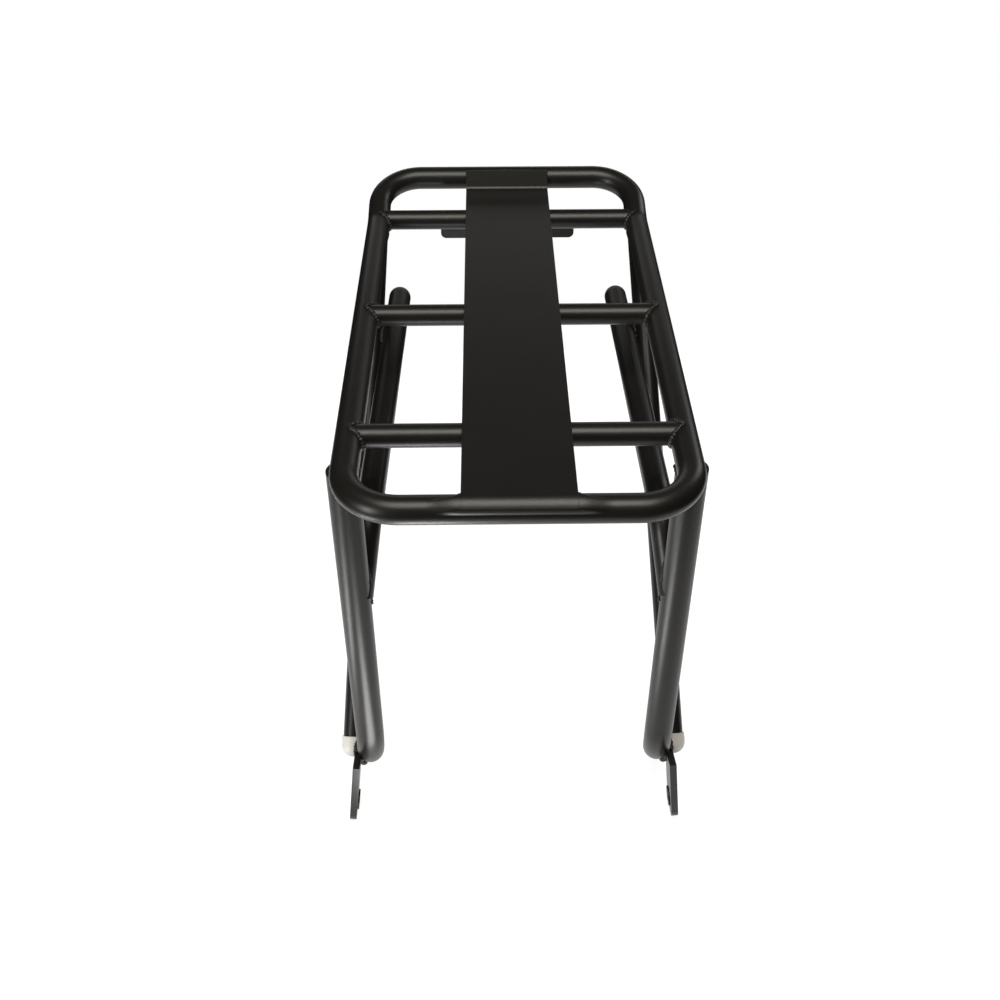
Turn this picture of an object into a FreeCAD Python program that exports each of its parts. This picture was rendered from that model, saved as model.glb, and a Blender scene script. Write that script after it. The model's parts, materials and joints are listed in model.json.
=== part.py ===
"""Welded tubular rear luggage carrier for a small-wheeled bicycle. Millimetres.

+Y points to the rear of the bicycle, +X across it, +Z up. The origin is halfway between the
two lower mounting holes, on the carrier's plane of symmetry. Every tube is hollow, and its end
is coped to the outside of the tube that it is welded to.
"""

import FreeCAD, Part
import math
import os

from FreeCAD import Vector

# Driving dimensions of the deck
DECK_HEIGHT = 250.0          # lower mounting holes up to the deck tube's axis
DECK_FRONT = -28.0           # Y of the deck's front tube
DECK_LENGTH = 328.0          # front axis to rear axis, along the rails
DECK_HALF_WIDTH = 82.0       # plane of symmetry to a rail's axis
DECK_TUBE_R = 7.0
FRONT_CORNER_R = 27.5
REAR_CORNER_R = 26.0
KICK_START = 285.0           # length of rail in front of the raised rear end
KICK_ANGLE = 15.8            # degrees that the rear end rises
KICK_BEND_R = 30.0
VENT_R = 2.0                 # holes that let gas out of the deck tube while it is welded
TUBE_WALL = 1.5
CLEARANCE = 1.0              # that a cutting tool runs past the wall it cuts

# Cross tubes, centre plate and lamp bracket
CROSS_TUBE_R = 6.0
CROSS_TUBE_PLACES = {"front": 55.5, "middle": 169.5, "rear": 287.5}   # from the front tube
CROSS_TUBE_RISE = DECK_TUBE_R - CROSS_TUBE_R                          # tops level with the rails
PLATE_WIDTH = 53.0
PLATE_THICK = 2.0
PLATE_REAR_BEND = 13.4       # from the plate's rear bend to the rear tube, centre to centre
PLATE_BEND_R = 4.0
PLATE_FRONT_LIP = 52.0       # degrees of the front tube that the plate's lip covers
PLATE_UPSTAND = 4.2          # of flat plate past the line where it touches the rear tube
LAMP_PLATE = (86.0, 3.0, 18.0)
LAMP_PLATE_TOP = 2.0         # above the rear cross tube's axis
LAMP_HOLE_SPACING = 50.0
LAMP_CORNER_R = 3.5

# Legs, stays and lower rails
LEG_X = 83.3
LEG_FROM_FRONT = 32.0
LEG_TUBE_R = 8.0
LEG_FOOT_BEND_R = 50.0
LEG_FOOT_BEND_START = -190.0     # below the deck axis
LEG_FOOT_TURN = 58.0
LEG_FOOT_OUTWARD = 12.0          # degrees that the foot's bend points out from straight back
LEG_FOOT_STRAIGHT = 12.5
LEG_TOP = -2.0
STAY_TUBE_R = 6.35
STAY_TOP = (82.0, 280.0, 0.0)        # across, from the front tube, above the deck axis
STAY_FOOT = (95.9, 51.2, -219.7)
RAIL_TUBE_R = 7.0
RAIL_PATH = ((70.5, 272.0, -47.0), (75.3, 59.0, -47.0), (81.0, 32.0, -85.0))
RAIL_BEND_R = 30.0

# Plugs in the open tube ends
PLUG_SHANK = 12.0
RAIL_PLUG_FLANGE = 1.0
STAY_PLUG_R = 7.2
STAY_PLUG_LENGTH = 5.0
LEG_PLUG_FLANGE = 2.0

# Lower mounting tabs
TAB_FACE = 93.9              # plane of symmetry to the tab's inner face at the hole
TAB_SPLAY = 6.5              # degrees that the tab's lower end leans outwards
TAB_THICK = 4.0
TAB_END_R = 12.0
TAB_TOP_FRONT = 44.0         # above the hole
TAB_TOP_REAR = 30.0
HOLE_R = 2.75                # clears an M5 screw
BUSH_SHANK_R = 4.0
BUSH_FLANGE_R = 6.0
BUSH_FLANGE_THICK = 1.0

SIDES = {"left": -1.0, "right": 1.0}
ACROSS = Vector(1, 0, 0)
REARWARD = Vector(0, 1, 0)


def deck_point(x, back, up):
    """A point given from the middle of the deck's front tube."""
    return Vector(x, DECK_FRONT + back, DECK_HEIGHT + up)


def disc(centre, direction, radius):
    return Part.Face(Part.Wire(Part.makeCircle(radius, centre, direction)))


def rod(start, end, radius):
    run = end - start
    return Part.makeCylinder(radius, run.Length, start, run)


def bent_rod(points, bend_radii, radius, closed=False):
    """A round bar through points, with one bend radius for each corner."""
    count = len(points)
    corners = range(count) if closed else range(1, count - 1)
    runs = {}
    pieces = []
    for index, bend_r in zip(corners, bend_radii):
        corner = points[index]
        back = (points[index - 1] - corner).normalize()
        ahead = (points[(index + 1) % count] - corner).normalize()
        turn = math.pi - back.getAngle(ahead)
        tangent = bend_r * math.tan(turn / 2)
        arc_start = corner + back * tangent
        arc_end = corner + ahead * tangent
        centre = corner + (back + ahead).normalize() * (bend_r / math.cos(turn / 2))
        axis = ahead.cross(back)
        section = disc(arc_start, back, radius)
        pieces.append(section.revolve(centre, axis, math.degrees(turn)))
        runs[index] = (arc_start, arc_end)
    for index in range(count if closed else count - 1):
        following = (index + 1) % count
        start = runs[index][1] if index in runs else points[index]
        end = runs[following][0] if following in runs else points[following]
        if (end - start).Length > 1e-6:
            pieces.append(rod(start, end, radius))
    return pieces[0].fuse(pieces[1:]).removeSplitter()


def save(node, shape):
    """Writes one node, after checking that its solids are sound."""
    solids = shape.Solids
    assert solids and all(solid.isValid() for solid in solids), node
    body = solids[0] if len(solids) == 1 else Part.makeCompound(solids)
    body.exportStep(os.path.join("parts", node + ".step"))
    print(f"{node:24s} solids {len(solids)}  volume {shape.Volume / 1000:8.2f} cm3")


def largest(shape):
    """The largest solid of a cut, without the waste pieces."""
    return max(shape.Solids, key=lambda solid: solid.Volume)


def kick_point(x, along):
    """A point on the raised rear end, along the rail from the start of the rise."""
    angle = math.radians(KICK_ANGLE)
    return deck_point(x, KICK_START + along * math.cos(angle), along * math.sin(angle))


def deck_rod(radius):
    rise = DECK_LENGTH - KICK_START
    half = DECK_HALF_WIDTH
    points = [
        deck_point(half, 0, 0),
        deck_point(half, KICK_START, 0),
        kick_point(half, rise),
        kick_point(-half, rise),
        deck_point(-half, KICK_START, 0),
        deck_point(-half, 0, 0),
    ]
    side = [FRONT_CORNER_R, KICK_BEND_R, REAR_CORNER_R]
    return bent_rod(points, side + side[::-1], radius, closed=True)


def cross_tube_ends(place):
    return [deck_point(side * DECK_HALF_WIDTH, place, CROSS_TUBE_RISE) for side in (-1, 1)]


def make_deck_loop():
    """The deck's outer tube, with a vent hole under each cross tube's end."""
    loop = deck_rod(DECK_TUBE_R).cut(deck_rod(DECK_TUBE_R - TUBE_WALL))
    for place in CROSS_TUBE_PLACES.values():
        left, right = cross_tube_ends(place)
        for end, inward in ((left, ACROSS), (right, ACROSS * -1)):
            outside = end + inward * (DECK_TUBE_R + CLEARANCE)
            loop = loop.cut(rod(end, outside, VENT_R))
    return largest(loop)


def make_cross_tube(place, deck_solid):
    left, right = cross_tube_ends(place)
    tube = rod(left, right, CROSS_TUBE_R).cut(rod(left, right, CROSS_TUBE_R - TUBE_WALL))
    return largest(tube.cut(deck_solid))


def make_centre_plate():
    """Sheet on the cross tubes, rolled over the front tube and bent up against the rear one."""
    over = DECK_TUBE_R + PLATE_THICK / 2
    front = deck_point(0, 0, 0)
    rear = kick_point(0, DECK_LENGTH - KICK_START)
    bend = Vector(0, rear.y - PLATE_REAR_BEND, front.z + over + PLATE_BEND_R)
    gap = rear - bend
    climb = math.asin((PLATE_BEND_R + over) / gap.Length) + math.atan2(gap.z, gap.y)

    def polar(centre, radius, degrees):
        angle = math.radians(degrees)
        return centre + Vector(0, math.cos(angle), math.sin(angle)) * radius

    slope = math.degrees(climb)
    uphill = Vector(0, math.cos(climb), math.sin(climb))
    sections = []
    for offset in (PLATE_THICK / 2, -PLATE_THICK / 2):
        lip_r = over + offset
        bend_r = PLATE_BEND_R - offset
        points = {
            "lip": polar(front, lip_r, 90 + PLATE_FRONT_LIP),
            "lip_mid": polar(front, lip_r, 90 + PLATE_FRONT_LIP / 2),
            "flat_start": polar(front, lip_r, 90),
            "flat_end": polar(bend, bend_r, -90),
            "bend_mid": polar(bend, bend_r, -90 + slope / 2),
            "climb_start": polar(bend, bend_r, -90 + slope),
            "rear_edge": polar(rear, lip_r, 90 + slope) + uphill * PLATE_UPSTAND,
        }
        sections.append(points)
    upper, lower = sections

    def profile(points):
        return [
            Part.Arc(points["lip"], points["lip_mid"], points["flat_start"]).toShape(),
            Part.makeLine(points["flat_start"], points["flat_end"]),
            Part.Arc(points["flat_end"], points["bend_mid"], points["climb_start"]).toShape(),
            Part.makeLine(points["climb_start"], points["rear_edge"]),
        ]

    ends = [
        Part.makeLine(upper["rear_edge"], lower["rear_edge"]),
        Part.makeLine(upper["lip"], lower["lip"]),
    ]
    outline = Part.Wire(Part.__sortEdges__(profile(upper) + profile(lower) + ends))
    sheet = Part.Face(outline).extrude(ACROSS * PLATE_WIDTH)
    sheet.translate(ACROSS * (-PLATE_WIDTH / 2))
    return sheet


def make_lamp_plate():
    """Upright strip on the back of the rear cross tube, with two screw holes."""
    width, thick, height = LAMP_PLATE
    axis = deck_point(0, CROSS_TUBE_PLACES["rear"], CROSS_TUBE_RISE)
    corner = axis + Vector(-width / 2, CROSS_TUBE_R, LAMP_PLATE_TOP - height)
    plate = Part.makeBox(width, thick, height, corner)
    upright = [
        edge for edge in plate.Edges
        if abs(edge.tangentAt(edge.FirstParameter).y) > 0.9 and edge.CenterOfMass.z < axis.z - height / 2
    ]
    plate = plate.makeFillet(LAMP_CORNER_R, upright)
    for across in (-LAMP_HOLE_SPACING / 2, LAMP_HOLE_SPACING / 2):
        hole = Vector(across, corner.y - CLEARANCE, corner.z + height / 2)
        plate = plate.cut(rod(hole, hole + REARWARD * (thick + 2 * CLEARANCE), HOLE_R))
    return plate


def leg_path(side):
    """The leg's axis: down from the rail, then a bend to the rear and a little outwards."""
    x = side * LEG_X
    turn = math.radians(LEG_FOOT_TURN)
    top = deck_point(x, LEG_FROM_FRONT, LEG_TOP)
    corner_drop = LEG_FOOT_BEND_R * math.tan(turn / 2)
    corner = deck_point(x, LEG_FROM_FRONT, LEG_FOOT_BEND_START - corner_drop)
    outward = math.radians(LEG_FOOT_OUTWARD)
    level = math.sin(turn)
    onward = Vector(side * level * math.sin(outward), level * math.cos(outward), -math.cos(turn))
    return [top, corner, corner + onward * (corner_drop + LEG_FOOT_STRAIGHT)], onward


def leg_rod(side, radius):
    path = leg_path(side)[0]
    return bent_rod(path, [LEG_FOOT_BEND_R], radius)


def make_leg(side, deck_solid):
    tube = leg_rod(side, LEG_TUBE_R).cut(leg_rod(side, LEG_TUBE_R - TUBE_WALL))
    return largest(tube.cut(deck_solid))


def make_leg_plug(side):
    """Disc-headed plug in the leg's open rear end."""
    path, onward = leg_path(side)
    end = path[-1]
    head = rod(end, end + onward * LEG_PLUG_FLANGE, LEG_TUBE_R)
    rims = [edge for edge in head.Edges if edge.Length > LEG_TUBE_R * 4]
    head = head.makeFillet(LEG_PLUG_FLANGE / 2, [max(rims, key=lambda edge: edge.CenterOfMass.dot(onward))])
    return head.fuse(rod(end - onward * PLUG_SHANK, end, LEG_TUBE_R - TUBE_WALL))


def mirrored(point, side):
    across, back, up = point
    return deck_point(side * across, back, up)


def domed_head(end, outward, straight, radius):
    """A plug's head: a short cylinder with a half sphere on it."""
    face = end + outward * straight
    behind = rod(face - outward * 2 * radius, face, 2 * radius)
    dome = Part.makeSphere(radius, face).cut(behind)
    return rod(end, face, radius).fuse(dome).removeSplitter()


def stay_ends(side):
    return mirrored(STAY_TOP, side), mirrored(STAY_FOOT, side)


def make_stay(side, deck_solid, leg_solid):
    top, foot = stay_ends(side)
    tube = rod(top, foot, STAY_TUBE_R).cut(rod(top, foot, STAY_TUBE_R - TUBE_WALL))
    return largest(largest(tube.cut(deck_solid)).cut(leg_solid))


def make_stay_plug(side, leg_solid):
    """Round-nosed plastic plug that closes the stay's lower end."""
    top, foot = stay_ends(side)
    down = (foot - top).normalize()
    head = domed_head(foot, down, STAY_PLUG_LENGTH, STAY_PLUG_R)
    shank = rod(foot - down * PLUG_SHANK, foot, STAY_TUBE_R - TUBE_WALL)
    return largest(head.fuse(shank).removeSplitter().cut(leg_solid))


def rail_path(side):
    return [mirrored(point, side) for point in RAIL_PATH]


def make_lower_rail(side, leg_solid):
    path = rail_path(side)
    outside = bent_rod(path, [RAIL_BEND_R], RAIL_TUBE_R)
    inside = bent_rod(path, [RAIL_BEND_R], RAIL_TUBE_R - TUBE_WALL)
    return largest(outside.cut(inside).cut(leg_solid))


def make_rail_plug(side):
    """Domed plug, as wide as the tube, in the lower rail's free rear end."""
    end, ahead = rail_path(side)[:2]
    outward = (end - ahead).normalize()
    head = domed_head(end, outward, RAIL_PLUG_FLANGE, RAIL_TUBE_R)
    shank = rod(end - outward * PLUG_SHANK, end, RAIL_TUBE_R - TUBE_WALL)
    return head.fuse(shank).removeSplitter()


def splayed(shape, side):
    """A tab or bush, turned about the middle of its hole so that its lower end leans outwards."""
    middle = TAB_FACE + (TAB_THICK - BUSH_FLANGE_THICK) / 2
    turned = shape.copy()
    turned.rotate(Vector(side * middle, 0, 0), REARWARD, -side * TAB_SPLAY)
    return turned


def make_tab(side, leg_solid):
    """Flat plate let into the outside of the leg, with a round lower end about its hole."""
    face = Vector(side * TAB_FACE, 0, 0)
    through = ACROSS * (side * TAB_THICK)
    left = Vector(0, -TAB_END_R, 0)
    right = Vector(0, TAB_END_R, 0)
    top_front = face + left + Vector(0, 0, TAB_TOP_FRONT)
    top_rear = face + right + Vector(0, 0, TAB_TOP_REAR)
    edges = [
        Part.Arc(face + left, face - Vector(0, 0, TAB_END_R), face + right).toShape(),
        Part.makeLine(face + right, top_rear),
        Part.makeLine(top_rear, top_front),
        Part.makeLine(top_front, face + left),
    ]
    plate = Part.Face(Part.Wire(edges)).extrude(through)
    plate = plate.cut(rod(face - through, face + through * 2, BUSH_SHANK_R))
    return largest(splayed(plate, side).cut(leg_solid))


def make_tab_bush(side):
    """Flanged bush that lines the tab's hole, with its flange on the inner face."""
    inner = Vector(side * (TAB_FACE - BUSH_FLANGE_THICK), 0, 0)
    face = Vector(side * TAB_FACE, 0, 0)
    outer = Vector(side * (TAB_FACE + TAB_THICK), 0, 0)
    bush = rod(inner, face, BUSH_FLANGE_R).fuse(rod(face, outer, BUSH_SHANK_R))
    past = ACROSS * (side * CLEARANCE)
    return splayed(bush.cut(rod(inner - past, outer + past, HOLE_R)), side)


def main():
    os.makedirs("parts", exist_ok=True)
    deck_solid = deck_rod(DECK_TUBE_R)
    save("deck_loop", make_deck_loop())
    for name, place in CROSS_TUBE_PLACES.items():
        save(f"cross_tube_{name}", make_cross_tube(place, deck_solid))
    save("centre_plate", make_centre_plate())
    save("lamp_plate", make_lamp_plate())
    for name, side in SIDES.items():
        leg_solid = leg_rod(side, LEG_TUBE_R)
        save(f"leg_{name}", make_leg(side, deck_solid))
        save(f"leg_plug_{name}", make_leg_plug(side))
        save(f"stay_{name}", make_stay(side, deck_solid, leg_solid))
        save(f"stay_plug_{name}", make_stay_plug(side, leg_solid))
        save(f"lower_rail_{name}", make_lower_rail(side, leg_solid))
        save(f"rail_plug_{name}", make_rail_plug(side))
        save(f"mounting_tab_{name}", make_tab(side, leg_solid))
        save(f"tab_bush_{name}", make_tab_bush(side))


main()
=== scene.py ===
# %% [markdown]
# # A welded tubular luggage carrier
# This lesson dresses a bicycle's rear luggage carrier. The tubes, the plate, the tabs and the
# plugs come from the CAD model and stay exactly as they are. Blender adds what a drawing leaves
# out: the coat of powder paint, the moulded plastic, the weld beads and a studio to see them in.

# %% Load the carrier
import json
import math

import bmesh
import bpy
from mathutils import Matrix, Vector


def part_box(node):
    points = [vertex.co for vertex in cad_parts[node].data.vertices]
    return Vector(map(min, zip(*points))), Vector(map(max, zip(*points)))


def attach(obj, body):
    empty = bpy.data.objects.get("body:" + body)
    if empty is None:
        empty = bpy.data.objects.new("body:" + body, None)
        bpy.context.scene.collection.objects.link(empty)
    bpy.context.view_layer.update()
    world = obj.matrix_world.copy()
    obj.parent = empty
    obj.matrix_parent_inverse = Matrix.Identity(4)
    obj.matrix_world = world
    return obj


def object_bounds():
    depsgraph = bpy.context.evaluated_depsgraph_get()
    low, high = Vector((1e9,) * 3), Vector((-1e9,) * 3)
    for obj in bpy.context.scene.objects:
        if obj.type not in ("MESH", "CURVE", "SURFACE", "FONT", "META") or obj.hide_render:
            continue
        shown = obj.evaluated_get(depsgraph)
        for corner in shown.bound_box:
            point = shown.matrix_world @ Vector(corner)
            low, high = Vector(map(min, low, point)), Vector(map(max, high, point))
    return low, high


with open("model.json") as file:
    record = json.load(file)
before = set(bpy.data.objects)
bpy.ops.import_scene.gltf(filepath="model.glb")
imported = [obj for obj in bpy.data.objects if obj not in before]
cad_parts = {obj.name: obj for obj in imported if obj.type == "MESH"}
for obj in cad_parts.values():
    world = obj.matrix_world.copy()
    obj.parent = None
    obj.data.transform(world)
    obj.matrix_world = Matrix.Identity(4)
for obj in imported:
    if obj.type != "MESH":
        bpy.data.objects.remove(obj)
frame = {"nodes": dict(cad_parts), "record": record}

MM = 0.001
cad_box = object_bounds()
nodes = frame["nodes"]
SIDES = {"left": -1.0, "right": 1.0}

# %% [markdown]
# ## Sizes that the welds need
# A bead lies where two tubes meet, so it needs each tube's axis and radius. They are measured
# from the CAD nodes' boxes where a box gives them. The radii, bends and slopes that a box can't
# give are written here in millimetres, from the origin between the two lower mounting holes.


# %% Measure the tubes
def box_mm(name):
    """Lowest and highest corner of a CAD node, in millimetres."""
    low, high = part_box(name)
    return Vector(low) / MM, Vector(high) / MM


plate_low, plate_high = box_mm("centre_plate")
cross_low, cross_high = box_mm("cross_tube_front")
deck_low, deck_high = box_mm("deck_loop")
leg_low = box_mm("leg_right")[0]
lamp_low, lamp_high = box_mm("lamp_plate")

DECK_R = 7.0
CROSS_R = (cross_high.z - cross_low.z) / 2
LEG_R = 8.0
STAY_R = 6.35
RAIL_R = 7.0
DECK_Z = deck_low.z + DECK_R
DECK_X = deck_high.x - DECK_R
FRONT_Y = deck_low.y + DECK_R
CROSS_Z = (cross_high.z + cross_low.z) / 2
LEG_X = leg_low.x + LEG_R
LEG_Y = leg_low.y + LEG_R
LEG_BEND_R = 50.0
LEG_BEND_Z = 60.0
LEG_FOOT_OUTWARD = math.radians(12.0)
STAY_TOP = Vector((82.0, 252.0, 250.0))
STAY_FOOT = Vector((95.9, 23.2, 30.3))
RAIL_FRONT_END = Vector((81.0, 4.0, 165.0))
RAIL_BEND = Vector((75.3, 31.0, 203.0))
RAIL_REAR_END = Vector((70.5, 244.0, 203.0))
cross_places = []
for place in ("front", "middle", "rear"):
    low, high = box_mm("cross_tube_" + place)
    cross_places.append((low.y + high.y) / 2)
print("deck axis", round(DECK_Z, 2), "rail axis", round(DECK_X, 2))
print("leg axis", round(LEG_X, 2), round(LEG_Y, 2))
print("cross tubes at", [round(place, 1) for place in cross_places])

# %% [markdown]
# ## Colours and nodes
# Paint charts give colours as sRGB hex values, and a shader works in linear light, so one
# function converts them. A second one adds a node, sets it and wires it in a single call.


# %% Two helpers for every material
def linear(code):
    """An sRGB hex colour as linear red, green, blue and alpha."""
    channels = [int(code[start:start + 2], 16) / 255 for start in (1, 3, 5)]
    bent = [c / 12.92 if c <= 0.04045 else ((c + 0.055) / 1.055) ** 2.4 for c in channels]
    return (*bent, 1.0)


def add(tree, kind, inputs=None, **settings):
    """Adds a node with its settings, and fills its sockets with values or other nodes' outputs."""
    node = tree.nodes.new(kind)
    for name, value in settings.items():
        setattr(node, name, value)
    for socket, value in (inputs or {}).items():
        if isinstance(value, bpy.types.NodeSocket):
            tree.links.new(value, node.inputs[socket])
        else:
            node.inputs[socket].default_value = value
    return node


def new_material(name):
    """An empty material, with its tree, Object coordinates and shader."""
    material = bpy.data.materials.new(name)
    material.use_nodes = True
    tree = material.node_tree
    tree.nodes.clear()
    place = add(tree, "ShaderNodeTexCoord").outputs["Object"]
    shader = add(tree, "ShaderNodeBsdfPrincipled")
    add(tree, "ShaderNodeOutputMaterial", {"Surface": shader.outputs["BSDF"]})
    return material, tree, place, shader


def per_metre(size_mm):
    """Noise scale whose features are about size_mm across on Object coordinates in metres."""
    return 1.0 / (size_mm * MM)


# %% [markdown]
# ## Satin black powder coat
# The frame is sprayed with dry polyester powder and baked. The powder melts into a skin about
# 0.08 mm thick, with a faint orange peel of ripples 1 to 2 mm apart and a finer grain on top.
# It rounds every sheet edge, which a Bevel node gives to the shading. This black leans to warm
# brown, and it varies a little from thick to thin places. Polyester has an IOR near 1.5. It is set
# lower here, because the bright floor would otherwise turn the undersides grey.


# %% Powder coat
def powder_coat(name, dark, light, roughness, peel_mm, peel_depth, grain_depth):
    """Polyester powder coat: orange peel, fine grain, softened edges."""
    material, tree, place, shader = new_material(name)
    cloud = add(tree, "ShaderNodeTexNoise", {"Vector": place, "Scale": per_metre(35.0), "Detail": 3.0})
    tone = add(
        tree, "ShaderNodeMix", {0: cloud.outputs["Fac"], 6: linear(dark), 7: linear(light)},
        data_type="RGBA",
    )
    grain = add(tree, "ShaderNodeTexNoise", {"Vector": place, "Scale": per_metre(0.45), "Detail": 2.0})
    gloss = add(
        tree, "ShaderNodeMapRange",
        {"Value": grain.outputs["Fac"], "From Min": 0.3, "From Max": 0.7,
         "To Min": roughness - 0.05, "To Max": roughness + 0.05},
    )
    edge = add(tree, "ShaderNodeBevel", {"Radius": 0.45 * MM}, samples=4)
    peel = add(tree, "ShaderNodeTexNoise", {"Vector": place, "Scale": per_metre(peel_mm), "Detail": 1.0})
    ripple = add(
        tree, "ShaderNodeBump",
        {"Height": peel.outputs["Fac"], "Distance": peel_depth * MM, "Normal": edge.outputs["Normal"]},
    )
    fine = add(
        tree, "ShaderNodeBump",
        {"Height": grain.outputs["Fac"], "Distance": grain_depth * MM, "Normal": ripple.outputs["Normal"]},
    )
    tree.links.new(tone.outputs[2], shader.inputs["Base Color"])
    tree.links.new(gloss.outputs["Result"], shader.inputs["Roughness"])
    tree.links.new(fine.outputs["Normal"], shader.inputs["Normal"])
    shader.inputs["IOR"].default_value = 1.33
    return material


satin_black = powder_coat("satin_black_powder_coat", "#0f0e0d", "#151412", 0.36, 1.6, 0.030, 0.010)
print("made", satin_black.name)

# %% [markdown]
# ## Powder over a weld
# The same powder on a weld bead runs thin over the crests and thick in the valleys, so it looks
# glossier and rougher at once: small facets of the bead catch the lamp as bright flecks.

# %% Coat on the weld beads
weld_coat = powder_coat("powder_coat_over_weld", "#131211", "#1c1b19", 0.32, 0.9, 0.16, 0.05)
print("made", weld_coat.name)

# %% [markdown]
# ## Moulded plastic plugs
# The lower rails end in soft black polyethylene plugs. Polyethylene straight from a spark-eroded
# mould is matt and a bit brown beside the paint. The stays end in plugs of the same plastic with
# no pigment, which is milky and lets some light into its skin.


# %% Moulded polyethylene
def moulded_polyethylene(name, dark, light, roughness, cloudiness):
    """Matt moulded plastic: spark-eroded grain and, with no pigment, light below the skin."""
    material, tree, place, shader = new_material(name)
    flow = add(tree, "ShaderNodeTexNoise", {"Vector": place, "Scale": per_metre(6.0), "Detail": 3.0})
    tone = add(
        tree, "ShaderNodeMix", {0: flow.outputs["Fac"], 6: linear(dark), 7: linear(light)},
        data_type="RGBA",
    )
    spark = add(tree, "ShaderNodeTexVoronoi", {"Vector": place, "Scale": per_metre(0.5)})
    bumps = add(tree, "ShaderNodeBump", {"Height": spark.outputs["Distance"], "Distance": 0.03 * MM})
    matt = add(
        tree, "ShaderNodeMapRange",
        {"Value": spark.outputs["Distance"], "To Min": roughness - 0.05, "To Max": roughness + 0.06},
    )
    tree.links.new(tone.outputs[2], shader.inputs["Base Color"])
    tree.links.new(matt.outputs["Result"], shader.inputs["Roughness"])
    tree.links.new(bumps.outputs["Normal"], shader.inputs["Normal"])
    shader.inputs["IOR"].default_value = 1.51
    shader.inputs["Subsurface Weight"].default_value = cloudiness
    shader.inputs["Subsurface Radius"].default_value = (1.0, 0.9, 0.8)
    shader.inputs["Subsurface Scale"].default_value = 1.5 * MM
    return material


black_plug = moulded_polyethylene("black_moulded_polyethylene", "#282423", "#33302d", 0.62, 0.0)
pale_plug = moulded_polyethylene("natural_moulded_polyethylene", "#b2b0ac", "#bfbdb8", 0.50, 0.3)
print("made", black_plug.name, "and", pale_plug.name)

# %% [markdown]
# ## Paint the CAD nodes
# Each CAD node names a finish in the record. Its material slot is assigned and nothing else on
# it changes.

# %% Assign the finishes
finishes = {
    "black_coated_aluminium": satin_black,
    "black_plastic_plug": black_plug,
    "pale_plastic_plug": pale_plug,
}
for part in frame["record"]["subparts"]:
    mesh = nodes[part["node"]].data
    mesh.materials.clear()
    mesh.materials.append(finishes[part["material_slot"]])

# %% [markdown]
# ## Weld beads
# Every joint of the frame is welded by hand with a filler rod. The pool freezes in steps, so a
# bead is a rope of overlapping ripples, a little lumpy, along the line where two parts meet. The
# line is worked out from the two tubes. A Geometry Nodes tree then turns any such line into a
# bead: it resamples the path, swells its radius once for each ripple, wraps a round section
# round it and pushes the skin in and out with noise.


# %% The bead's tree
def group_input(tree, name, kind, value):
    """A named input of a node group, with its default."""
    socket = tree.interface.new_socket(name=name, in_out="INPUT", socket_type=kind)
    if value is not None:
        socket.default_value = value
    return socket


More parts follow.
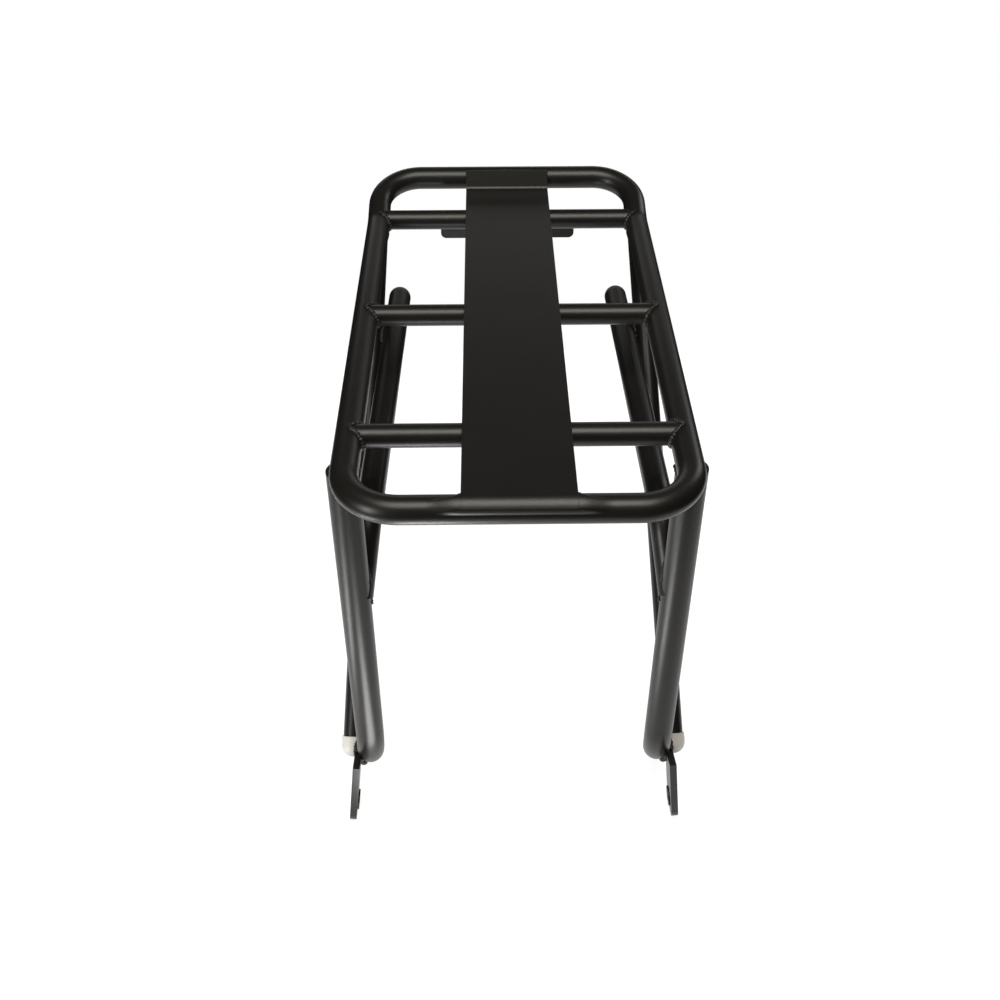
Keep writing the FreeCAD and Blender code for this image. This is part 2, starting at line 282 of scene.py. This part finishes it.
def make_bead_tree():
    """Path edges in, rippled weld bead out."""
    tree = bpy.data.node_groups.new("weld_bead", "GeometryNodeTree")
    group_input(tree, "Path", "NodeSocketGeometry", None)
    group_input(tree, "Bead radius", "NodeSocketFloat", 0.0017)
    group_input(tree, "Ripple pitch", "NodeSocketFloat", 0.0014)
    group_input(tree, "Ripple height", "NodeSocketFloat", 0.12)
    group_input(tree, "Lump height", "NodeSocketFloat", 0.0004)
    group_input(tree, "Seed", "NodeSocketFloat", 1.0)
    group_input(tree, "Coat", "NodeSocketMaterial", None)
    tree.interface.new_socket(name="Bead", in_out="OUTPUT", socket_type="NodeSocketGeometry")
    given = add(tree, "NodeGroupInput").outputs
    line = add(tree, "GeometryNodeMeshToCurve", {"Mesh": given["Path"]})
    step = add(tree, "ShaderNodeMath", {0: given["Ripple pitch"], 1: 5.0}, operation="DIVIDE")
    points = add(
        tree, "GeometryNodeResampleCurve", {"Curve": line.outputs["Curve"], "Length": step.outputs[0]},
        mode="LENGTH",
    )
    along = add(tree, "GeometryNodeSplineParameter")
    ripples = add(
        tree, "ShaderNodeMath", {0: along.outputs["Length"], 1: given["Ripple pitch"]}, operation="DIVIDE"
    )
    turns = add(tree, "ShaderNodeMath", {0: ripples.outputs[0], 1: 2 * math.pi}, operation="MULTIPLY")
    wave = add(tree, "ShaderNodeMath", {0: turns.outputs[0]}, operation="SINE")
    swell = add(
        tree, "ShaderNodeMath", {0: wave.outputs[0], 1: given["Ripple height"], 2: 1.0},
        operation="MULTIPLY_ADD",
    )
    fill = add(tree, "GeometryNodeInputNamedAttribute", {"Name": "fill"}, data_type="FLOAT")
    filled = add(
        tree, "ShaderNodeMath", {0: swell.outputs[0], 1: fill.outputs["Attribute"]},
        operation="MULTIPLY",
    )
    girth = add(
        tree, "ShaderNodeMath", {0: filled.outputs[0], 1: given["Bead radius"]}, operation="MULTIPLY"
    )
    section = add(tree, "GeometryNodeCurvePrimitiveCircle", {"Resolution": 12, "Radius": 1.0})
    rope = add(
        tree, "GeometryNodeCurveToMesh",
        {"Curve": points.outputs["Curve"], "Profile Curve": section.outputs["Curve"],
         "Fill Caps": True, "Scale": girth.outputs[0]},
    )
    noise = add(
        tree, "ShaderNodeTexNoise", {"W": given["Seed"], "Scale": per_metre(1.6), "Detail": 2.0},
        noise_dimensions="4D",
    )
    centred = add(tree, "ShaderNodeMath", {0: noise.outputs["Fac"], 1: 0.5}, operation="SUBTRACT")
    push = add(tree, "ShaderNodeMath", {0: centred.outputs[0], 1: given["Lump height"]}, operation="MULTIPLY")
    normal = add(tree, "GeometryNodeInputNormal")
    lumps = add(
        tree, "ShaderNodeVectorMath", {0: normal.outputs[0], "Scale": push.outputs[0]},
        operation="SCALE",
    )
    skin = add(
        tree, "GeometryNodeSetPosition", {"Geometry": rope.outputs["Mesh"], "Offset": lumps.outputs[0]}
    )
    smooth = add(tree, "GeometryNodeSetShadeSmooth", {"Geometry": skin.outputs["Geometry"]})
    real = add(tree, "GeometryNodeRealizeInstances", {"Geometry": smooth.outputs["Geometry"]})
    coated = add(
        tree, "GeometryNodeSetMaterial", {"Geometry": real.outputs["Geometry"], "Material": given["Coat"]}
    )
    add(tree, "NodeGroupOutput", {"Bead": coated.outputs["Geometry"]})
    return tree


bead_tree = make_bead_tree()
print("bead tree:", len(bead_tree.nodes), "nodes")


# %% Lay a bead along its paths
def lay_beads(name, paths, radius, lump, seed):
    """Makes one piece of beads. Each path is (points in millimetres, fill at each, closed or not)."""
    points = []
    fills = []
    edges = []
    for path, fill, closed in paths:
        first = len(points)
        points += [point * MM for point in path]
        fills += fill
        edges += [(first + index, first + index + 1) for index in range(len(path) - 1)]
        if closed:
            edges.append((len(points) - 1, first))
    mesh = bpy.data.meshes.new(name)
    mesh.from_pydata(points, edges, [])
    mesh.attributes.new("fill", "FLOAT", "POINT").data.foreach_set("value", fills)
    piece = bpy.data.objects.new(name, mesh)
    bpy.context.scene.collection.objects.link(piece)
    modifier = piece.modifiers.new("bead", "NODES")
    modifier.node_group = bead_tree
    given = {"Bead radius": radius * MM, "Lump height": lump * MM, "Seed": seed, "Coat": weld_coat}
    for socket in bead_tree.interface.items_tree:
        if socket.name in given:
            modifier[socket.identifier] = given[socket.name]
    bpy.context.view_layer.update()
    evaluated = piece.evaluated_get(bpy.context.evaluated_depsgraph_get())
    solid = bpy.data.meshes.new_from_object(evaluated)
    piece.modifiers.clear()
    piece.data = solid
    solid.name = name
    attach(piece, "root")
    print(name, "beads", len(paths), "faces", len(solid.polygons))
    return piece


# %% [markdown]
# ## Where two tubes meet
# Take a line on the first tube's skin, parallel to its axis. It enters the second tube where a
# quadratic in its length is zero. Turning that line once round the first tube draws the saddle
# curve that the welder follows. A leg is wider than the rail above it, so its outermost lines
# miss, and the bead stops short of them.


# %% The saddle curve
def across_axis(axis):
    """Two unit vectors at right angles to an axis and to each other."""
    helper = Vector((0, 0, 1)) if abs(axis.z) < 0.9 else Vector((1, 0, 0))
    first = axis.cross(helper).normalized()
    return first, axis.cross(first).normalized()


def skin_hits(start, axis, offset, other_point, other_axis, other_radius):
    """Both lengths at which a line on one tube's skin crosses the other tube's skin."""
    gap = start + offset - other_point
    gap_flat = gap - other_axis * gap.dot(other_axis)
    axis_flat = axis - other_axis * axis.dot(other_axis)
    a = axis_flat.dot(axis_flat)
    b = gap_flat.dot(axis_flat)
    c = gap_flat.dot(gap_flat) - other_radius ** 2
    spread = b * b - a * c
    root = math.sqrt(max(spread, 0.0))
    return (-b - root) / a, (-b + root) / a, spread


THIN = 0.45
FACING = 0.3


def saddle(start, axis, radius, other_point, other_axis, other_radius, open_side=None, steps=48):
    """Curve round a tube that starts inside another and runs out of it along axis.

    The bead is full in the crotches, which face along the other tube, and thin between them. It
    leaves out the part that faces open_side.
    """
    axis = axis.normalized()
    other_axis = other_axis.normalized()
    first, second = across_axis(axis)
    found = []
    for step in range(steps):
        angle = 2 * math.pi * step / steps
        around = first * math.cos(angle) + second * math.sin(angle)
        hits = skin_hits(start, axis, around * radius, other_point, other_axis, other_radius)
        outward, spread = hits[1:]
        crotch = abs(around.dot(other_axis))
        hit = (start + around * radius + axis * outward, THIN + (1 - THIN) * crotch)
        left_out = open_side is not None and around.dot(open_side) > FACING
        found.append(hit if spread > 0 and not left_out else None)
    closed = None not in found
    if not closed:
        starts = [index for index in range(steps) if found[index - 1] is None and found[index]]
        after_gap = max(starts)
        found = [hit for hit in found[after_gap:] + found[:after_gap] if hit is not None]
    return [point for point, fill in found], [fill for point, fill in found], closed


def kiss(start, axis, radius, other_point, other_axis, other_radius, reach, steps=288):
    """Closed curve round the spot where two tubes pass within twice the reach of each other."""
    axis = axis.normalized()
    other_axis = other_axis.normalized()
    first, second = across_axis(axis)
    near_side = []
    far_side = []
    for step in range(steps):
        angle = 2 * math.pi * step / steps
        offset = (first * math.cos(angle) + second * math.sin(angle)) * (radius + reach)
        near, far, spread = skin_hits(start, axis, offset, other_point, other_axis, other_radius + reach)
        if spread > 0:
            near_side.append(start + offset + axis * near)
            far_side.append(start + offset + axis * far)
    path = near_side + far_side[::-1]
    return path, [1.0] * len(path), True


def side_point(point, side):
    """The same point on the left or the right half."""
    return Vector((point.x * side, point.y, point.z))


# %% [markdown]
# ## Beads at the tube ends
# The six ends of the cross tubes, the tops of the legs and stays and the front ends of the lower
# rails are all saddles of this kind.

# %% Beads round the tube ends
ALONG = Vector((0, 1, 0))
DOWN = Vector((0, 0, -1))

cross_paths = []
leg_paths = []
stay_paths = []
rail_paths = []
for side in SIDES.values():
    rail_point = Vector((side * DECK_X, 0, DECK_Z))
    inward = Vector((-side, 0, 0))
    for place in cross_places:
        end = Vector((side * DECK_X, place, CROSS_Z))
        cross_paths.append(saddle(end, inward, CROSS_R, rail_point, ALONG, DECK_R))
    leg_top = Vector((side * LEG_X, LEG_Y, DECK_Z))
    leg_paths.append(saddle(leg_top, DOWN, LEG_R, rail_point, ALONG, DECK_R, open_side=-inward))
    top = side_point(STAY_TOP, side)
    slope = side_point(STAY_FOOT, side) - top
    stay_paths.append(saddle(top, slope, STAY_R, rail_point, ALONG, DECK_R))
    front_end = side_point(RAIL_FRONT_END, side)
    rise = side_point(RAIL_BEND, side) - front_end
    rail_paths.append(saddle(front_end, rise, RAIL_R, leg_top, DOWN, LEG_R))

lay_beads("cross_tube_welds", cross_paths, radius=1.7, lump=1.1, seed=3.0)
lay_beads("leg_top_welds", leg_paths, radius=1.9, lump=0.9, seed=5.0)
lay_beads("stay_top_welds", stay_paths, radius=1.6, lump=0.7, seed=7.0)
lay_beads("lower_rail_front_welds", rail_paths, radius=1.5, lump=0.7, seed=9.0)

# %% [markdown]
# ## Where two tubes only touch
# Each stay passes the lower rail and the leg's foot side by side. Two tubes that touch leave a
# narrow gap all round one spot, and the welder runs a short bead round it. The same quadratic
# gives that oval once both tubes are made a little fatter. The foot is bent, so its nearest point
# to the stay is found first, by stepping down the bend.


# %% The leg's bent foot
NEAREST_DEGREES = range(10, 58)


def leg_foot(side, angle):
    """Centre, direction and the two section vectors of the leg's tube at an angle down its bend."""
    out = Vector((side * math.sin(LEG_FOOT_OUTWARD), math.cos(LEG_FOOT_OUTWARD), 0))
    start = Vector((side * LEG_X, LEG_Y, LEG_BEND_Z))
    centre = start + out * LEG_BEND_R * (1 - math.cos(angle)) + DOWN * LEG_BEND_R * math.sin(angle)
    direction = out * math.sin(angle) + DOWN * math.cos(angle)
    bendward = out * math.cos(angle) - DOWN * math.sin(angle)
    return centre, direction, bendward, direction.cross(bendward)


def nearest_foot(side, line_start, line_axis):
    """The foot's centre and direction where it is nearest to a line."""
    best = None
    for degree in NEAREST_DEGREES:
        centre, direction = leg_foot(side, math.radians(degree))[:2]
        gap = centre - line_start
        distance = (gap - line_axis * gap.dot(line_axis)).length
        if best is None or distance < best[0]:
            best = (distance, centre, direction)
    return best


# %% Beads round the touching tubes
REACH = 0.7

touch_paths = []
for side in SIDES.values():
    top = side_point(STAY_TOP, side)
    slope = (side_point(STAY_FOOT, side) - top).normalized()
    rail_start = side_point(RAIL_REAR_END, side)
    rail_slope = side_point(RAIL_BEND, side) - rail_start
    touch_paths.append(kiss(top, slope, STAY_R, rail_start, rail_slope, RAIL_R, REACH))
    distance, foot_centre, foot_direction = nearest_foot(side, top, slope)
    touch_paths.append(kiss(top, slope, STAY_R, foot_centre, foot_direction, LEG_R, REACH))
    print("stay to foot, axis to axis:", round(distance, 2), "mm")

lay_beads("stay_side_welds", touch_paths, radius=1.6, lump=0.8, seed=11.0)

# %% [markdown]
# ## The tabs
# Each mounting tab is let into the outside of the leg's foot, so a bead runs down the foot on both
# sides of both faces. A face is a plane, and a plane cuts each round section of the foot in two
# points, given by one arc cosine.

# %% Beads between the tabs and the feet
TAB_FACE = 93.9
TAB_THICK = 4.0
TAB_SPLAY = math.radians(6.5)
TAB_HALF_WIDTH = 12.0
TAB_TOP = 44.0
TAB_TOP_FALL = 0.58
TAB_WELD_BOTTOM = 8.0
TAB_DEGREES = range(12, 62, 3)
HOLE_MIDDLE = 95.4


def tab_paths(side):
    """The lines where the tab's two faces meet the foot."""
    across = Vector((side * math.cos(TAB_SPLAY), 0, math.sin(TAB_SPLAY)))
    middle = Vector((side * HOLE_MIDDLE, 0, 0)).dot(across)
    inner_face = middle - (HOLE_MIDDLE - TAB_FACE)
    paths = []
    for face in (inner_face, inner_face + TAB_THICK):
        for turn in (-1, 1):
            line = []
            for degree in TAB_DEGREES:
                centre, direction, bendward, sideways = leg_foot(side, math.radians(degree))
                lean = Vector((across.dot(bendward), across.dot(sideways)))
                share = (face - across.dot(centre)) / (lean.length * LEG_R)
                if abs(share) >= 1:
                    continue
                angle = math.atan2(lean.y, lean.x) + turn * math.acos(share)
                point = centre + (bendward * math.cos(angle) + sideways * math.sin(angle)) * LEG_R
                tab_top = TAB_TOP - (point.y + TAB_HALF_WIDTH) * TAB_TOP_FALL
                if abs(point.y) < TAB_HALF_WIDTH and TAB_WELD_BOTTOM < point.z < tab_top:
                    line.append(point)
            if len(line) > 2:
                paths.append((line, [1.0] * len(line), False))
    return paths


all_tab_paths = [path for side in SIDES.values() for path in tab_paths(side)]
lay_beads("tab_welds", all_tab_paths, radius=1.9, lump=0.8, seed=13.0)

# %% [markdown]
# ## Stitches under the plate
# The centre plate rests on the cross tubes, and short stitches hold it from below. Others run
# behind the plate's raised end and along the top and bottom of the lamp plate.


# %% Stitch welds
def stitch(middle, length, y, z):
    """A short straight bead across the carrier."""
    ends = (middle - length / 2, middle, middle + length / 2)
    return [Vector((x, y, z)) for x in ends], [0.7, 1.0, 0.7], False


PLATE_UNDERSIDE = DECK_Z + DECK_R
PLATE_STITCH = 12.0
PLATE_STITCH_MIDDLES = (-14.0, 14.0)
PLATE_STITCH_BESIDE = (-3.4, 3.4)
PLATE_STITCH_DROP = 0.9
LAMP_STITCH = 14.0
LAMP_STITCH_MIDDLES = (-30.0, 0.0, 30.0)

stitch_paths = []
for place in cross_places:
    for middle in PLATE_STITCH_MIDDLES:
        for beside in PLATE_STITCH_BESIDE:
            stitch_paths.append(
                stitch(middle, PLATE_STITCH, place + beside, PLATE_UNDERSIDE - PLATE_STITCH_DROP)
            )
for middle in LAMP_STITCH_MIDDLES:
    stitch_paths.append(stitch(middle, LAMP_STITCH, lamp_low.y - 0.5, lamp_high.z + 0.4))
    stitch_paths.append(stitch(middle, LAMP_STITCH, lamp_low.y - 1.1, CROSS_Z - 3.7))
rear_tube = Vector((0, deck_high.y - DECK_R, deck_high.z - DECK_R))
plate_half = (plate_high.x - plate_low.x) / 2
stitch_paths.append(stitch(0.0, plate_half * 1.8, rear_tube.y - 4.2, rear_tube.z + 6.0))

lay_beads("stitch_welds", stitch_paths, radius=1.2, lump=0.5, seed=17.0)

# %% [markdown]
# ## The dressed front edge
# The plate is rolled over the front tube and its edge is blended into the tube, so no step shows.
# The filler fades from the plate's thickness to nothing along the tube and round it. That is a
# height field on a cylinder, so it is built as a grid of points whose radius comes from smooth
# steps, closed by an inner skin inside the tube's wall.


# %% Smooth filler over the plate's front edge
def smooth_step(value, start, end):
    """0 at start, 1 at end, with no kink at either."""
    share = min(max((value - start) / (end - start), 0.0), 1.0)
    return share * share * (3 - 2 * share)


FILLER_THICK = 2.06
FILLER_SINK = 0.08
SKIN_DEPTH = 0.6
FADE_REACH = 17.0
CORNER_REACH = 3.0
FADE_MARGIN = 0.5
FIRST_ANGLE, LAST_ANGLE = 62.0, 166.0
FULL_FROM, FULL_TO = 86.0, 141.0
WIDENING = (84.0, 104.0)


def filler_height(x, degrees):
    """Thickness of filler on the front tube."""
    past_edge = abs(x) - plate_half
    reach = CORNER_REACH + (FADE_REACH - CORNER_REACH) * smooth_step(degrees, *WIDENING)
    along = 1 - smooth_step(past_edge, FADE_MARGIN, reach)
    lower = 1 - smooth_step(degrees, FULL_TO, LAST_ANGLE)
    upper = smooth_step(degrees, FIRST_ANGLE, FULL_FROM)
    return FILLER_THICK * along * lower * upper


def make_filler(columns=72, rows=36):
    """Closed shell of filler on the front tube."""
    width = plate_half + FADE_REACH
    front_tube = Vector((0, FRONT_Y, DECK_Z))
    skins = []
    for inside in (False, True):
        skin = []
        for column in range(columns + 1):
            x = -width + 2 * width * column / columns
            for row in range(rows + 1):
                degrees = FIRST_ANGLE + (LAST_ANGLE - FIRST_ANGLE) * row / rows
                outer = DECK_R - FILLER_SINK + filler_height(x, degrees)
                radius = DECK_R - SKIN_DEPTH if inside else outer
                angle = math.radians(degrees)
                forward = -math.cos(angle)
                if forward > 0:
                    radius = min(radius, (FRONT_Y - plate_low.y) / forward)
                spoke = Vector((0, math.cos(angle), math.sin(angle))) * radius
                skin.append((front_tube + Vector((x, 0, 0)) + spoke) * MM)
        skins += skin
    stride = rows + 1
    second = stride * (columns + 1)
    faces = []
    for column in range(columns):
        for row in range(rows):
            a = column * stride + row
            faces.append((a, a + stride, a + stride + 1, a + 1))
            faces.append((second + a, second + a + 1, second + a + stride + 1, second + a + stride))
    rim = [column * stride for column in range(columns + 1)]
    rim += [columns * stride + row for row in range(1, rows + 1)]
    rim += [column * stride + rows for column in range(columns - 1, -1, -1)]
    rim += [row for row in range(rows - 1, 0, -1)]
    for here, there in zip(rim, rim[1:] + rim[:1]):
        faces.append((there, here, second + here, second + there))
    mesh = bpy.data.meshes.new("front_edge_filler")
    mesh.from_pydata(skins, [], faces)
    shell = bmesh.new()
    shell.from_mesh(mesh)
    bmesh.ops.recalc_face_normals(shell, faces=shell.faces)
    for face in shell.faces:
        face.smooth = True
    shell.to_mesh(mesh)
    shell.free()
    mesh.materials.append(satin_black)
    piece = bpy.data.objects.new("front_edge_filler", mesh)
    bpy.context.scene.collection.objects.link(piece)
    return piece


front_edge_filler = make_filler()
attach(front_edge_filler, "root")
print("front_edge_filler faces", len(front_edge_filler.data.polygons))

# %% [markdown]
# ## The studio
# The carrier stands on a sheet of white paper that glows a little, so that it stays white. A soft
# lamp nearly overhead draws a bright line along each cross tube, and weaker ones stand at the front
# left, at the rear right and far behind. The legs stand upright and are seen from above, so they
# mirror the floor in front of them: two narrow panels lying on it draw the streak down each leg.
# The room is dark, so what faces away from the lamps stays black.

# %% Floor
FLOOR_REACH = 0.42
FLOOR_MIDDLE_Y = 0.10
floor_mesh = bpy.data.meshes.new("paper_floor")
floor_z = cad_box[0].z
square = ((-1, -1), (1, -1), (1, 1), (-1, 1))
corners = [(x * FLOOR_REACH, FLOOR_MIDDLE_Y + y * FLOOR_REACH, floor_z) for x, y in square]
floor_mesh.from_pydata(corners, [], [(0, 1, 2, 3)])
floor = bpy.data.objects.new("paper_floor", floor_mesh)
bpy.context.scene.collection.objects.link(floor)
white_paper = new_material("white_paper")
paper, paper_shader = white_paper[0], white_paper[-1]
paper_shader.inputs["Base Color"].default_value = linear("#959595")
paper_shader.inputs["Roughness"].default_value = 0.9
paper_shader.inputs["Specular IOR Level"].default_value = 0.2
paper_shader.inputs["Emission Color"].default_value = linear("#ffffff")
paper_shader.inputs["Emission Strength"].default_value = 0.88
floor_mesh.materials.append(paper)
print("floor at", round(floor_z, 4))


# %% Lamps
def softbox(name, place, aim, size, power, colour="#ffffff"):
    """A square soft lamp at place, pointed at aim."""
    data = bpy.data.lights.new(name, "AREA")
    data.shape = "RECTANGLE"
    data.size, data.size_y = size
    data.energy = power
    data.color = linear(colour)[:3]
    lamp = bpy.data.objects.new(name, data)
    bpy.context.scene.collection.objects.link(lamp)
    lamp.location = place
    lamp.rotation_euler = (Vector(aim) - Vector(place)).to_track_quat("-Z", "Y").to_euler()
    return lamp


centre = (cad_box[0] + cad_box[1]) / 2
softbox("overhead_softbox", (0.0, -0.35, 1.65), centre, (1.1, 0.85), 34.0, "#fffaf0")
softbox("front_left_softbox", (-0.97, -0.80, 0.36), centre, (0.2, 0.7), 12.0)
softbox("rear_right_softbox", (1.35, 1.35, 1.0), centre, (0.5, 0.9), 6.0)
softbox("rear_wall_glow", (0.0, 2.4, 0.7), centre, (2.0, 0.8), 5.0)
PANEL_SIZE = (0.06, 0.12)
PANEL_POWER = 0.34
PANEL_Y = -0.10
for name, across in (("left_leg_panel", -0.235), ("right_leg_panel", -0.065)):
    softbox(name, (across, PANEL_Y, floor_z + 0.002), (across, PANEL_Y, 1.0), PANEL_SIZE, PANEL_POWER)

world = bpy.data.worlds.new("studio")
world.use_nodes = True
world.node_tree.nodes.clear()
seen = add(world.node_tree, "ShaderNodeLightPath").outputs["Is Camera Ray"]
room = add(world.node_tree, "ShaderNodeBackground", {"Color": linear("#ffffff"), "Strength": 0.012})
backdrop = add(world.node_tree, "ShaderNodeBackground", {"Color": linear("#ffffff"), "Strength": 1.0})
both = add(world.node_tree, "ShaderNodeMixShader", {0: seen, 1: room.outputs[0], 2: backdrop.outputs[0]})
add(world.node_tree, "ShaderNodeOutputWorld", {"Surface": both.outputs[0]})
bpy.context.scene.world = world

# %% Camera
camera_data = bpy.data.cameras.new("camera")
camera_data.lens = 43.2
camera_data.sensor_width = 36.0
camera = bpy.data.objects.new("camera", camera_data)
bpy.context.scene.collection.objects.link(camera)
camera.location = (-0.0145, -0.4461, 0.5991)
camera.rotation_euler = (math.radians(90 - 39.42), 0, math.radians(-0.785))
bpy.context.scene.camera = camera
bpy.context.scene.view_settings.view_transform = "Standard"

# %% Sizes for the record of this run
print("CAD box", [list(corner) for corner in cad_box])
